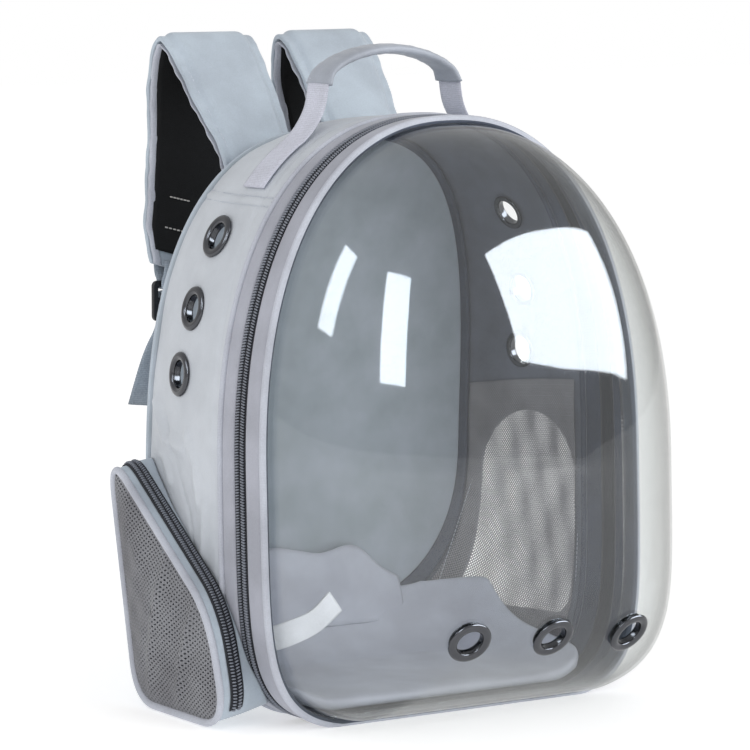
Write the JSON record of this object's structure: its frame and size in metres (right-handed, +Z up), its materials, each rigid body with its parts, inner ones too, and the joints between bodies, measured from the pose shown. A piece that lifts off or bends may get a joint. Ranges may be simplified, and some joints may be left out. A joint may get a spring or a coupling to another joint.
{
  "type": "bubble pet carrier backpack",
  "caption": "Backpack for carrying a small animal: clear bubble front in a zipped cloth frame, mesh side pocket, floor mat, carrying handle and padded shoulder straps.",
  "frame": {"origin": "On the floor, below the middle of the front frame, on the flat underside of the frame.", "axes": "+X is to the right when the bubble is seen from the front, +Y runs from the bubble to the wearer's back, +Z is up."},
  "size_m": [0.3517, 0.4062, 0.4715],
  "materials": {
    "cloth": "satin",
    "piping": "satin",
    "lining": "matte",
    "panel": "matte",
    "mat": "matte",
    "coil": "satin",
    "clear": "gloss",
    "metal": "gloss",
    "net": "matte",
    "strap": "matte",
    "black": "matte",
    "webbing": "satin",
    "black_plastic": "satin"
  },
  "bodies": {
    "root": {"front_hoop": "cloth", "zip_tape": "cloth", "side_wall": "cloth", "front_piping": "piping", "rear_piping": "piping", "pocket_piping": "piping", "inner_seam_binding": "lining", "back_panel": "panel", "floor_mat": "mat", "zip_coil": "coil", "pocket_zip": "coil", "bubble": "clear", "left_eyelet_top": "metal", "left_eyelet_middle": "metal", "left_eyelet_low": "metal", "right_eyelet_top": "metal", "right_eyelet_middle": "metal", "right_eyelet_low": "metal", "bubble_eyelet_1": "metal", "bubble_eyelet_2": "metal", "bubble_eyelet_3": "metal", "right_window_net": "net", "pocket_net": "net", "pocket_band": "strap", "left_strap_pad": "strap", "right_strap_pad": "strap", "handle_grip": "strap", "left_strap_lining": "black", "right_strap_lining": "black", "tether_ribbon": "webbing", "left_buckle_tab": "webbing", "right_buckle_tab": "webbing", "left_webbing": "webbing", "right_webbing": "webbing", "left_handle_leg": "webbing", "right_handle_leg": "webbing", "left_buckle": "black_plastic", "right_buckle": "black_plastic"}
  },
  "joints": []
}
